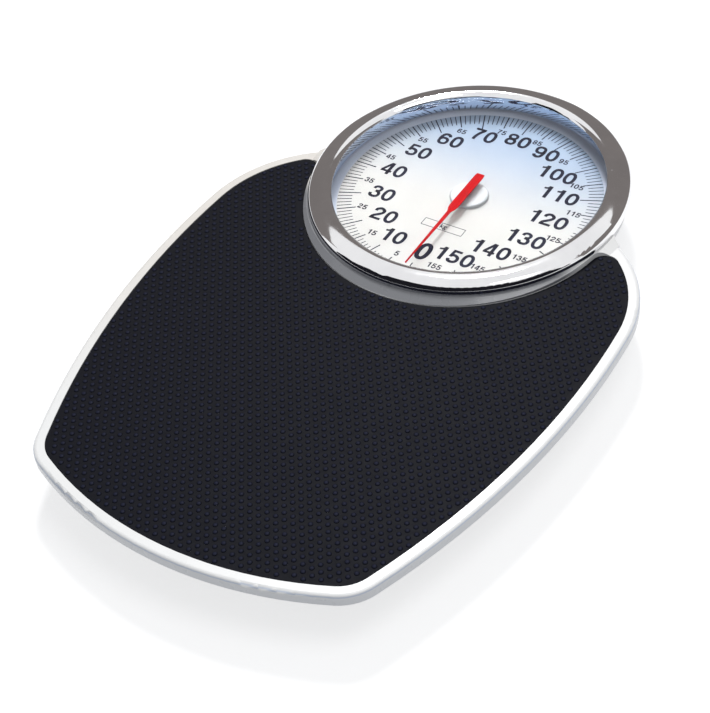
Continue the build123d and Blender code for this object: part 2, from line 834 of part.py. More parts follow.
keep("base_pan", make_pan())
keep("rubber_feet", place_all(make_foot, foot_places()))
keep("front_fulcrum_brackets", place_all(make_fulcrum_bracket, front_fulcrums(), long_lever_z))
keep("rear_fulcrum_brackets", place_all(make_fulcrum_bracket, rear_fulcrums(), short_lever_z))
keep("pan_rivets", place_all(make_rivet, rivet_places()))
add_levers()
keep("spring_plate", make_spring_plate())
keep("main_spring", make_main_spring())
keep("spring_tower", make_tower())
keep("spring_anchor", make_anchor())
keep("zero_screw", make_zero_screw())
keep("zero_wheel", make_zero_wheel())
keep("bell_crank", make_bell_crank())
keep("crank_bracket", make_crank_bracket())
keep("crank_pin", make_crank_pin())
keep("rack", make_rack())
keep("rack_guide", make_rack_guide())
keep("rack_return_spring", make_return_spring())
keep("movement_bridge", make_bridge())
keep("movement_posts", place_all(make_post, post_places()))
keep("dial_carrier", make_carrier())
keep("dial_pillars", place_all(make_pillar, pillar_places()))
keep("dial_plate", make_dial())
keep("hub_bush", make_hub_bush())
keep("bush_nut", make_bush_nut())
keep("pointer_arbor", make_arbor())
keep("pinion", make_pinion())
keep("pointer", make_pointer())
keep("platform_cover", make_cover())
keep("platform_mat", make_mat())
keep("front_load_brackets", place_all(make_load_bracket, front_loads, long_lever_z))
keep("rear_load_brackets", place_all(make_load_bracket, rear_loads, short_lever_z))
keep("chrome_bezel", make_bezel())
keep("reflector_ring", make_reflector())
keep("lens_gasket", make_gasket())
keep("dial_lens", make_lens())
keep("bezel_screws", place_all(make_bezel_screw, bezel_screw_places()))

os.makedirs("parts", exist_ok=True)
for name, shape in nodes.items():
    export_step(shape, os.path.join("parts", name + ".step"))

print("dial axis at y", round(dial_axis_y, 3))
print("load arm", round(load_arm, 3), "rack arm", round(rack_arm, 3), "rack travel", round(rack_travel, 3))
print("crank turn", round(2 * crank_swing, 4), "rad")
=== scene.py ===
import math

import bpy
from mathutils import Matrix, Vector


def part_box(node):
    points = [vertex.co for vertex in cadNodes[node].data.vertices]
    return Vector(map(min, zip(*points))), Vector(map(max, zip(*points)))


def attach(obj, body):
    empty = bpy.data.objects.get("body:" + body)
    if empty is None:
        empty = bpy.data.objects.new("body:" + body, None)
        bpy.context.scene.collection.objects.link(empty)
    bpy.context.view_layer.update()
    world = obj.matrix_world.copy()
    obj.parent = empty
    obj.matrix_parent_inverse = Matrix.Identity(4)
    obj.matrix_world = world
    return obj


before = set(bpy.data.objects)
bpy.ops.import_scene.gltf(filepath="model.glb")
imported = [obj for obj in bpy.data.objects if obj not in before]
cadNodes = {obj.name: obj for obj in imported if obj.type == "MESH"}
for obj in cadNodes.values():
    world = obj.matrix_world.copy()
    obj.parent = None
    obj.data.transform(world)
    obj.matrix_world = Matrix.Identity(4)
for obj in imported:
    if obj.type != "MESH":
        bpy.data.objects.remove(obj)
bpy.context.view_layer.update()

# the dial's axis, read from the lens, since the whole head is built about it
lensLow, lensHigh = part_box("dial_lens")
axisX = (lensLow.x + lensHigh.x) / 2
axisY = (lensLow.y + lensHigh.y) / 2
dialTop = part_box("dial_plate")[1].z
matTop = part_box("platform_mat")[1].z
rimAboveMat = 0.0003
rimTop = matTop + rimAboveMat


def newObject(name, mesh):
    piece = bpy.data.objects.new(name, mesh)
    bpy.context.scene.collection.objects.link(piece)
    return piece


def meshFrom(name, points, faces):
    mesh = bpy.data.meshes.new(name)
    mesh.from_pydata([tuple(p) for p in points], [], faces)
    mesh.update()
    return mesh


def paint(piece, material):
    piece.data.materials.clear()
    piece.data.materials.append(material)


# Shared shader effects

def newGroup(name, inputs, outputs):
    tree = bpy.data.node_groups.new(name, "ShaderNodeTree")
    for label, value in inputs.items():
        socket = tree.interface.new_socket(label, in_out="INPUT", socket_type="NodeSocketFloat")
        socket.default_value = value
    for label, kind in outputs.items():
        tree.interface.new_socket(label, in_out="OUTPUT", socket_type=kind)
    start = tree.nodes.new("NodeGroupInput")
    end = tree.nodes.new("NodeGroupOutput")
    return tree, tree.nodes.new, tree.links.new, start, end


def mottleGroup():
    # slow, uneven tone over a surface
    tree, make, join, start, end = newGroup(
        "mottle", {"Scale": 40.0, "Low": 0.0, "High": 1.0}, {"Value": "NodeSocketFloat"}
    )
    place = make("ShaderNodeTexCoord")
    noise = make("ShaderNodeTexNoise")
    noise.inputs["Detail"].default_value = 4
    spread = make("ShaderNodeMapRange")
    usualLow, usualHigh = 0.3, 0.7    # the noise seldom goes beyond these
    spread.inputs["From Min"].default_value = usualLow
    spread.inputs["From Max"].default_value = usualHigh
    join(place.outputs["Object"], noise.inputs["Vector"])
    join(start.outputs["Scale"], noise.inputs["Scale"])
    join(noise.outputs["Fac"], spread.inputs["Value"])
    join(start.outputs["Low"], spread.inputs["To Min"])
    join(start.outputs["High"], spread.inputs["To Max"])
    join(spread.outputs["Result"], end.inputs["Value"])
    return tree


def grainGroup():
    # fine moulded or rolled grain, stretched along one way if Stretch is over 1
    tree, make, join, start, end = newGroup(
        "grain", {"Scale": 800.0, "Stretch": 1.0}, {"Height": "NodeSocketFloat"}
    )
    place = make("ShaderNodeTexCoord")
    squeeze = make("ShaderNodeCombineXYZ")
    squeeze.inputs["X"].default_value = 1
    times = make("ShaderNodeVectorMath")
    times.operation = "MULTIPLY"
    noise = make("ShaderNodeTexNoise")
    noise.inputs["Detail"].default_value = 2
    join(start.outputs["Stretch"], squeeze.inputs["Y"])
    join(start.outputs["Stretch"], squeeze.inputs["Z"])
    join(place.outputs["Object"], times.inputs[0])
    join(squeeze.outputs["Vector"], times.inputs[1])
    join(times.outputs["Vector"], noise.inputs["Vector"])
    join(start.outputs["Scale"], noise.inputs["Scale"])
    join(noise.outputs["Fac"], end.inputs["Height"])
    return tree


# settings for edges made paler for wear and a painted highlight
wearAndHighlight = {
    "samples": 4,
    "flatTo": 0.99,           # how alike the true and the rounded normal are on a flat face
    "sharpFrom": 0.85,        # and on a sharp edge
    "patchScale": 260.0,
    "amount": 2.0,
}


def edgeGroup():
    # 1 on sharp outer edges, for wear and a painted highlight, broken up so that they aren't a line
    tree, make, join, start, end = newGroup(
        "edge wear and painted highlight", {"Radius": 0.0004, "Amount": 1.0}, {"Mask": "NodeSocketFloat"}
    )
    soft = make("ShaderNodeBevel")
    soft.samples = wearAndHighlight["samples"]
    flat = make("ShaderNodeNewGeometry")
    dot = make("ShaderNodeVectorMath")
    dot.operation = "DOT_PRODUCT"
    turn = make("ShaderNodeMapRange")
    turn.inputs["From Min"].default_value = wearAndHighlight["flatTo"]
    turn.inputs["From Max"].default_value = wearAndHighlight["sharpFrom"]
    place = make("ShaderNodeTexCoord")
    noise = make("ShaderNodeTexNoise")
    noise.inputs["Scale"].default_value = wearAndHighlight["patchScale"]
    patchy = make("ShaderNodeMath")
    patchy.operation = "MULTIPLY"
    scaled = make("ShaderNodeMath")
    scaled.operation = "MULTIPLY"
    scaled.use_clamp = True
    join(start.outputs["Radius"], soft.inputs["Radius"])
    join(soft.outputs["Normal"], dot.inputs[0])
    join(flat.outputs["Normal"], dot.inputs[1])
    join(dot.outputs["Value"], turn.inputs["Value"])
    join(place.outputs["Object"], noise.inputs["Vector"])
    join(turn.outputs["Result"], patchy.inputs[0])
    join(noise.outputs["Fac"], patchy.inputs[1])
    join(patchy.outputs["Value"], scaled.inputs[0])
    join(start.outputs["Amount"], scaled.inputs[1])
    join(scaled.outputs["Value"], end.inputs["Mask"])
    return tree


def radiusGroup():
    # distance from the dial's axis, in metres
    tree, make, join, start, end = newGroup(
        "axis distance", {"Axis X": axisX, "Axis Y": axisY}, {"Radius": "NodeSocketFloat"}
    )
    place = make("ShaderNodeTexCoord")
    parts = make("ShaderNodeSeparateXYZ")
    join(place.outputs["Object"], parts.inputs["Vector"])
    joined = make("ShaderNodeCombineXYZ")
    for letter in "XY":
        less = make("ShaderNodeMath")
        less.operation = "SUBTRACT"
        join(parts.outputs[letter], less.inputs[0])
        join(start.outputs["Axis " + letter], less.inputs[1])
        join(less.outputs["Value"], joined.inputs[letter])
    size = make("ShaderNodeVectorMath")
    size.operation = "LENGTH"
    join(joined.outputs["Vector"], size.inputs[0])
    join(size.outputs["Value"], end.inputs["Radius"])
    return tree


groups = {
    "mottle": mottleGroup(), "grain": grainGroup(), "edge": edgeGroup(), "radius": radiusGroup(),
}


class Finish:
    # one material, with short calls for the nodes that it needs
    def __init__(self, name, settings):
        self.material = bpy.data.materials.new(name)
        self.material.use_nodes = True
        self.tree = self.material.node_tree
        self.shader = self.tree.nodes["Principled BSDF"]
        self.output = self.tree.nodes["Material Output"]
        self.shader.inputs["Metallic"].default_value = settings.get("metallic", 0.0)
        self.shader.inputs["Roughness"].default_value = settings.get("roughness", 0.5)
        self.shader.inputs["Coat Weight"].default_value = settings.get("coat", 0.0)
        self.shader.inputs["Coat Roughness"].default_value = settings.get("coatRoughness", 0.05)
        self.shader.inputs["Specular IOR Level"].default_value = settings.get("specular", 0.5)

    def node(self, kind):
        return self.tree.nodes.new(kind)

    def link(self, source, target):
        self.tree.links.new(source, target)

    def mottle(self, scale, low=0.0, high=1.0):
        return self.group("mottle", "Value", Scale=scale, Low=low, High=high)

    def group(self, name, output, **values):
        made = self.node("ShaderNodeGroup")
        made.node_tree = groups[name]
        for label, value in values.items():
            made.inputs[label].default_value = value
        return made.outputs[output]

    def mix(self, mask, first, second):
        # colours may be sockets or plain red, green and blue
        # 6, 7 and 2 are the numbers of the node's colour sockets
        made = self.node("ShaderNodeMix")
        made.data_type = "RGBA"
        self.link(mask, made.inputs["Factor"])
        for place, colour in ((6, first), (7, second)):
            if isinstance(colour, tuple):
                made.inputs[place].default_value = (*colour, 1)
            else:
                self.link(colour, made.inputs[place])
        return made.outputs[2]

    def ramp(self, value, low, high, fromLow, fromHigh):
        made = self.node("ShaderNodeMapRange")
        made.interpolation_type = "SMOOTHSTEP"
        self.link(value, made.inputs["Value"])
        made.inputs["From Min"].default_value = fromLow
        made.inputs["From Max"].default_value = fromHigh
        made.inputs["To Min"].default_value = low
        made.inputs["To Max"].default_value = high
        return made.outputs["Result"]

    def maths(self, operation, first, second):
        made = self.node("ShaderNodeMath")
        made.operation = operation
        for place, value in ((0, first), (1, second)):
            if isinstance(value, (int, float)):
                made.inputs[place].default_value = value
            else:
                self.link(value, made.inputs[place])
        return made.outputs["Value"]

    def objectPlace(self, letter):
        place = self.node("ShaderNodeTexCoord")
        parts = self.node("ShaderNodeSeparateXYZ")
        self.link(place.outputs["Object"], parts.inputs["Vector"])
        return parts.outputs[letter]

    def colour(self, socket):
        self.link(socket, self.shader.inputs["Base Color"])

    def rough(self, socket):
        self.link(socket, self.shader.inputs["Roughness"])

    def bump(self, height, distance):
        made = self.node("ShaderNodeBump")
        made.inputs["Distance"].default_value = distance
        made.inputs["Strength"].default_value = 1.0
        self.link(height, made.inputs["Height"])
        self.link(made.outputs["Normal"], self.shader.inputs["Normal"])


# what a plain finish has unless its own dictionary says otherwise
plain = {"mottleScale": 60.0, "glossScale": 90.0, "edgeRadius": 0.0004, "stretch": 1.0}


def plainFinish(name, settings):
    # two near tones, a fine grain, uneven gloss and edges paler for wear and a painted highlight
    s = {**plain, **settings}
    finish = Finish(name, s)
    colour = finish.mix(finish.mottle(s["mottleScale"]), s["dark"], s["light"])
    if "edge" in s:
        # edges paler for wear and a painted highlight
        wornAndHighlit = finish.group("edge", "Mask", Radius=s["edgeRadius"], Amount=wearAndHighlight["amount"])
        colour = finish.mix(wornAndHighlit, colour, s["edge"])
    finish.colour(colour)
    finish.rough(finish.mottle(s["glossScale"], s["roughLow"], s["roughHigh"]))
    height = finish.group("grain", "Height", Scale=s["grainScale"], Stretch=s["stretch"])
    finish.bump(height, s["grainDepth"])
    return finish.material


coverPaint = {
    "white": (0.90, 0.90, 0.89),
    "cream": (0.80, 0.765, 0.71),
    "edgeBlue": (0.30, 0.44, 0.70),       # painted blue reflection, a thin line round the rim's outer edge
    "edgeMiddle": 0.0012,     # metres below the rim's top
    "edgeHalf": 0.0007,
    "edgeShare": 0.4,
    "paintedCollarShade": (0.21, 0.215, 0.23),        # painted shade on the collar round the head
    "collarShadeReach": 0.1139,    # metres from the dial's axis
    "collarShadeEnd": 0.035,       # it stops this far on the user's side of the axis
    "collarShadeRise": 0.0002,     # above the rim's top
    "collarShadeFade": 0.0003,     # how soft its outer edge is
    "collarShadeTaper": 0.02,      # and its two ends
    "creamFrom": -0.06,       # metres along the slant from near right to far left
    "creamTo": 0.20,
    "creamSlant": 1.1,
    "patchScale": 25.0,
    "patchShare": 0.06,
    "glossScale": 70.0,
    "roughLow": 0.24,
    "roughHigh": 0.34,
    "peelScale": 700.0,
    "peelDepth": 0.000012,
    "coat": 0.25,
    "coatRoughness": 0.08,
}


def coverPaintMaterial():
    s = coverPaint
    finish = Finish("cover_paint_gloss", s)
    # painted warm reflection: the rim turns cream towards the far left
    across = finish.maths("MULTIPLY", finish.objectPlace("X"), s["creamSlant"])
    slant = finish.maths("SUBTRACT", finish.objectPlace("Y"), across)
    paintedWarmReflection = finish.ramp(slant, 0.0, 1.0, s["creamFrom"], s["creamTo"])
    tone = finish.mix(paintedWarmReflection, s["white"], s["cream"])
    patches = finish.mottle(s["patchScale"], 0.0, s["patchShare"])
    mottled = finish.mix(patches, tone, s["cream"])
    # painted reflection: a blue line a little below the rim's top
    height = finish.objectPlace("Z")
    middle = rimTop - s["edgeMiddle"]
    rise = finish.ramp(height, 0.0, 1.0, middle - s["edgeHalf"], middle)
    fall = finish.ramp(height, 1.0, 0.0, middle, middle + s["edgeHalf"])
    line = finish.maths("MULTIPLY", finish.maths("MULTIPLY", rise, fall), s["edgeShare"])
    lined = finish.mix(line, mottled, s["edgeBlue"])
    # painted shade: the collar's side towards the user is darkened
    reach = s["collarShadeReach"]
    inside = finish.ramp(finish.group("radius", "Radius"), 1.0, 0.0, reach, reach + s["collarShadeFade"])
    above = finish.ramp(height, 0.0, 1.0, rimTop, rimTop + s["collarShadeRise"])
    end = axisY - s["collarShadeEnd"]
    nearSide = finish.ramp(finish.objectPlace("Y"), 1.0, 0.0, end - s["collarShadeTaper"], end)
    paintedCollarShade = finish.maths("MULTIPLY", finish.maths("MULTIPLY", inside, above), nearSide)
    finish.colour(finish.mix(paintedCollarShade, lined, s["paintedCollarShade"]))
    finish.rough(finish.mottle(s["glossScale"], s["roughLow"], s["roughHigh"]))
    finish.bump(finish.group("grain", "Height", Scale=s["peelScale"]), s["peelDepth"])
    return finish.material


matRubber = {
    "flat": (0.0036, 0.0040, 0.0070),
    "crown": (0.012, 0.014, 0.031),
    "crownFrom": 0.0001,      # metres above the mat where the bumps turn paler, a painted sheen with some wear
    "crownTo": 0.0006,
    "dustScale": 420.0,
    "dustShare": 0.12,
    "specular": 0.07,
    "glossScale": 260.0,
    "roughLow": 0.50,
    "roughHigh": 0.56,
    "grainScale": 2600.0,
    "grainDepth": 0.00003,
}


def matRubberMaterial():
    s = matRubber
    finish = Finish("mat_rubber_moulded", s)
    # painted sheen with some wear: the bumps' tops are paler
    low, high = matTop + s["crownFrom"], matTop + s["crownTo"]
    height = finish.ramp(finish.objectPlace("Z"), 0.0, 1.0, low, high)
    tone = finish.mix(height, s["flat"], s["crown"])
    dust = finish.mottle(s["dustScale"], 0.0, s["dustShare"])
    finish.colour(finish.mix(dust, tone, s["crown"]))
    finish.rough(finish.mottle(s["glossScale"], s["roughLow"], s["roughHigh"]))
    finish.bump(finish.group("grain", "Height", Scale=s["grainScale"]), s["grainDepth"])
    return finish.material


chrome = {
    "metallic": 1.0,
    "bright": (0.86, 0.86, 0.87),
    "dull": (0.76, 0.76, 0.78),
    "toneScale": 30.0,
    "glossScale": 120.0,
    "roughLow": 0.035,
    "roughHigh": 0.075,
    "lineScale": 500.0,
    "lineDepth": 0.0000008,
}


def chromeMaterial():
    s = chrome
    finish = Finish("bezel_chrome_polished", s)
    finish.colour(finish.mix(finish.mottle(s["toneScale"]), s["dull"], s["bright"]))
    finish.rough(finish.mottle(s["glossScale"], s["roughLow"], s["roughHigh"]))
    finish.bump(finish.group("grain", "Height", Scale=s["lineScale"]), s["lineDepth"])
    return finish.material


mirrorWall = {
    "metallic": 1.0,
    # the blue is a painted sky reflection in the mirror's own colour
    "deepReflectedBlue": (0.62, 0.70, 0.84),
    "paleReflectedBlue": (0.68, 0.76, 0.88),
    "toneScale": 20.0,
    "glossScale": 80.0,
    "roughLow": 0.02,
    "roughHigh": 0.06,
}


def mirrorWallMaterial():
    s = mirrorWall
    finish = Finish("reflector_chrome_bright", s)
    # painted sky reflection: the mirror's colour is tinted blue
    finish.colour(finish.mix(finish.mottle(s["toneScale"]), s["deepReflectedBlue"], s["paleReflectedBlue"]))
    finish.rough(finish.mottle(s["glossScale"], s["roughLow"], s["roughHigh"]))
    return finish.material


lensGlass = {
    "roughness": 0.0,
    "ior": 1.46,
    "smearScale": 300.0,
    "smearRough": 0.01,
}


def lensGlassMaterial():
    s = lensGlass
    finish = Finish("lens_glass_clear", s)
    finish.shader.inputs["Transmission Weight"].default_value = 1.0
    finish.shader.inputs["IOR"].default_value = s["ior"]
    finish.shader.inputs["Base Color"].default_value = (1, 1, 1, 1)
    finish.rough(finish.mottle(s["smearScale"], 0.0, s["smearRough"]))
    # lamps shine through to the dial
    clear = finish.node("ShaderNodeBsdfTransparent")
    path = finish.node("ShaderNodeLightPath")
    either = finish.node("ShaderNodeMixShader")
    finish.link(path.outputs["Is Shadow Ray"], either.inputs["Fac"])
    finish.link(finish.shader.outputs["BSDF"], either.inputs[1])
    finish.link(clear.outputs["BSDF"], either.inputs[2])
    finish.link(either.outputs["Shader"], finish.output.inputs["Surface"])
    return finish.material


dialFace = {
    "cream": (0.50, 0.497, 0.478),
    "paintedSkyBlue": (0.245, 0.325, 0.44),
    "skyFrom": -0.02,         # metres beyond the dial's axis
    "skyTo": 0.072,
    "edgeGrey": (0.45, 0.50, 0.60),
    "edgeFrom": 0.0882,       # radius of the painted shade band round the dial's edge
    "edgeTo": 0.0890,
    "patchScale": 30.0,
    "patchShare": 0.05,
    "specular": 0.15,
    "glossScale": 50.0,
    "roughLow": 0.36,
    "roughHigh": 0.46,
    "grainScale": 3000.0,
    "grainDepth": 0.000004,
}


def dialFaceMaterial():
    s = dialFace
    finish = Finish("dial_face_print", s)
    # painted sky reflection: the dial turns blue towards its far side
    far = finish.ramp(finish.objectPlace("Y"), 0.0, 1.0, axisY + s["skyFrom"], axisY + s["skyTo"])
    tone = finish.mix(far, s["cream"], s["paintedSkyBlue"])
    mottled = finish.mix(finish.mottle(s["patchScale"], 0.0, s["patchShare"]), tone, s["edgeGrey"])
    # painted shade: a grey band round the dial's edge
    band = finish.ramp(finish.group("radius", "Radius"), 0.0, 1.0, s["edgeFrom"], s["edgeTo"])
    finish.colour(finish.mix(band, mottled, s["edgeGrey"]))
    finish.rough(finish.mottle(s["glossScale"], s["roughLow"], s["roughHigh"]))
    finish.bump(finish.group("grain", "Height", Scale=s["grainScale"]), s["grainDepth"])
    return finish.material


# plain finishes, one dictionary for each
finishes = {
    "dial_ink": {
        "dark": (0.008, 0.010, 0.024), "light": (0.012, 0.014, 0.030), "specular": 0.0,
        "roughLow": 0.4, "roughHigh": 0.5, "grainScale": 3000.0, "grainDepth": 0.000003,
    },
    "tick_ink": {
        "dark": (0.012, 0.016, 0.032), "light": (0.018, 0.024, 0.042), "specular": 0.0,
        "roughLow": 0.4, "roughHigh": 0.5, "grainScale": 3000.0, "grainDepth": 0.000003,
    },
    "hub_plastic": {
        "dark": (0.43, 0.455, 0.48), "light": (0.47, 0.49, 0.50), "edge": (0.55, 0.565, 0.575),
        "roughLow": 0.30, "roughHigh": 0.40, "grainScale": 1500.0, "grainDepth": 0.000006,
        "specular": 0.3,
    },
    "pointer_red": {
        "dark": (0.38, 0.002, 0.004), "light": (0.42, 0.003, 0.006), "edge": (0.48, 0.016, 0.024),
        "edgeRadius": 0.0002, "roughLow": 0.45, "roughHigh": 0.55, "grainScale": 1800.0,
        "grainDepth": 0.000004, "specular": 0.0,
    },
    "pan_enamel": {
        "dark": (0.46, 0.47, 0.48), "light": (0.54, 0.55, 0.56), "edge": (0.66, 0.67, 0.68),
        "roughLow": 0.34, "roughHigh": 0.46, "grainScale": 900.0, "grainDepth": 0.00002,
    },
    "foot_rubber": {
        "dark": (0.012, 0.012, 0.013), "light": (0.022, 0.022, 0.024), "edge": (0.05, 0.05, 0.05),
        "roughLow": 0.60, "roughHigh": 0.75, "grainScale": 1600.0, "grainDepth": 0.00003,
    },
    "gasket_rubber": {
        "dark": (0.020, 0.022, 0.028), "light": (0.032, 0.034, 0.040),
        "roughLow": 0.50, "roughHigh": 0.62, "grainScale": 2200.0, "grainDepth": 0.00001,
    },
    "zinc_steel": {
        "dark": (0.50, 0.51, 0.52), "light": (0.66, 0.66, 0.64), "edge": (0.80, 0.80, 0.78),
        "metallic": 1.0, "roughLow": 0.28, "roughHigh": 0.46, "mottleScale": 220.0,
        "grainScale": 700.0, "stretch": 6.0, "grainDepth": 0.000006,
    },
    "lever_steel": {
        "dark": (0.40, 0.41, 0.43), "light": (0.52, 0.53, 0.55), "edge": (0.72, 0.72, 0.72),
        "metallic": 1.0, "roughLow": 0.34, "roughHigh": 0.52, "mottleScale": 150.0,
        "grainScale": 500.0, "stretch": 10.0, "grainDepth": 0.00001,
    },
    "bright_steel": {
        "dark": (0.62, 0.62, 0.63), "light": (0.72, 0.72, 0.73), "edge": (0.85, 0.85, 0.85),
        "metallic": 1.0, "roughLow": 0.16, "roughHigh": 0.26, "grainScale": 1400.0,
        "stretch": 8.0, "grainDepth": 0.000003,
    },
    "spring_steel": {
        "dark": (0.30, 0.30, 0.32), "light": (0.40, 0.40, 0.43), "edge": (0.6, 0.6, 0.6),
        "metallic": 1.0, "roughLow": 0.22, "roughHigh": 0.36, "grainScale": 1200.0,
        "grainDepth": 0.000004,
    },
    "brass": {
        "dark": (0.60, 0.42, 0.16), "light": (0.74, 0.55, 0.24), "edge": (0.85, 0.68, 0.36),
        "metallic": 1.0, "roughLow": 0.20, "roughHigh": 0.34, "grainScale": 1300.0,
        "stretch": 6.0, "grainDepth": 0.000004,
    },
    "pillar_plastic": {
        "dark": (0.70, 0.69, 0.65), "light": (0.78, 0.77, 0.73), "edge": (0.85, 0.85, 0.82),
        "roughLow": 0.42, "roughHigh": 0.52, "grainScale": 1500.0, "grainDepth": 0.00001,
    },
    "wheel_plastic": {
        "dark": (0.016, 0.017, 0.020), "light": (0.030, 0.031, 0.035), "edge": (0.09, 0.09, 0.10),
        "roughLow": 0.36, "roughHigh": 0.48, "grainScale": 1300.0, "grainDepth": 0.00001,
    },
}
materials = {name: plainFinish(name + "_finish", settings) for name, settings in finishes.items()}
materials["cover_paint"] = coverPaintMaterial()
materials["mat_rubber"] = matRubberMaterial()
materials["bezel_chrome"] = chromeMaterial()
materials["reflector_chrome"] = mirrorWallMaterial()
materials["lens_glass"] = lensGlassMaterial()
materials["dial_face"] = dialFaceMaterial()
print("materials made:", len(materials))

# each CAD node gets the finish of its own slot in the record
for node in cadNodes.values():
    for place in node.material_slots:
        slotName = place.material.name.split(".")[0]
        place.material = materials[slotName]
print("CAD nodes painted:", len(cadNodes))


# The mat's raised bumps, by Geometry Nodes over the mat's own outline
bumps = {
    "pitchX": 0.00585,
    "pitchY": 0.0084,         # two rows, since every second one is shifted by half a pitch
    "radius": 0.00175,
    "height": 0.00062,
    "sunk": 0.00012,          # how far a bump's closed foot goes into the mat
    "edgeGap": 0.0021,        # from the mat's edge to the nearest bump's middle
    "sides": 10,
    # rings of points from the foot up: share of the radius, share of the height
    "rings": [(1.0, 0.0), (0.82, 0.52), (0.48, 0.86)],
    "rayLift": 0.01,          # the look down for the mat starts this far above a bump
    "rayReach": 0.02,
}


def domeMesh(name, s):
    # a low closed dome with its foot below the mat's surface
    rings = s["rings"]
    points = [(0, 0, -s["sunk"])]
    for share, lift in rings:
        for index in range(s["sides"]):
            angle = 2 * math.pi * index / s["sides"]
            radius = s["radius"] * share
            rise = -s["sunk"] + (s["height"] + s["sunk"]) * lift
            points.append((radius * math.cos(angle), radius * math.sin(angle), rise))
    points.append((0, 0, s["height"]))
    faces = []
    count = s["sides"]
    for index in range(count):
        after = (index + 1) % count
        faces.append((0, 1 + after, 1 + index))
        for level in range(len(rings) - 1):
            low = 1 + level * count
            high = low + count
            faces.append((low + index, low + after, high + after, high + index))
        last = 1 + (len(rings) - 1) * count
        faces.append((last + index, last + after, len(points) - 1))
    mesh = meshFrom(name, points, faces)
    for face in mesh.polygons:
        face.use_smooth = face.normal.z > -0.5    # all but the flat foot
    return mesh


def newGeometryTree(name, inputs):
    # an empty tree with geometry in and out, and the named inputs
    tree = bpy.data.node_groups.new(name, "GeometryNodeTree")
    tree.interface.new_socket("Geometry", in_out="INPUT", socket_type="NodeSocketGeometry")
    for label, kind in inputs.items():
        tree.interface.new_socket(label, in_out="INPUT", socket_type="NodeSocket" + kind)
    tree.interface.new_socket("Geometry", in_out="OUTPUT", socket_type="NodeSocketGeometry")
    make, join = tree.nodes.new, tree.links.new
    return tree, make, join, make("NodeGroupInput"), make("NodeGroupOutput")


def setInputs(modifier, tree, values):
    # a modifier's inputs are set by identifier
    for item in tree.interface.items_tree:
        if item.item_type == "SOCKET" and item.in_out == "INPUT" and item.name in values:
            modifier[item.identifier] = values[item.name]


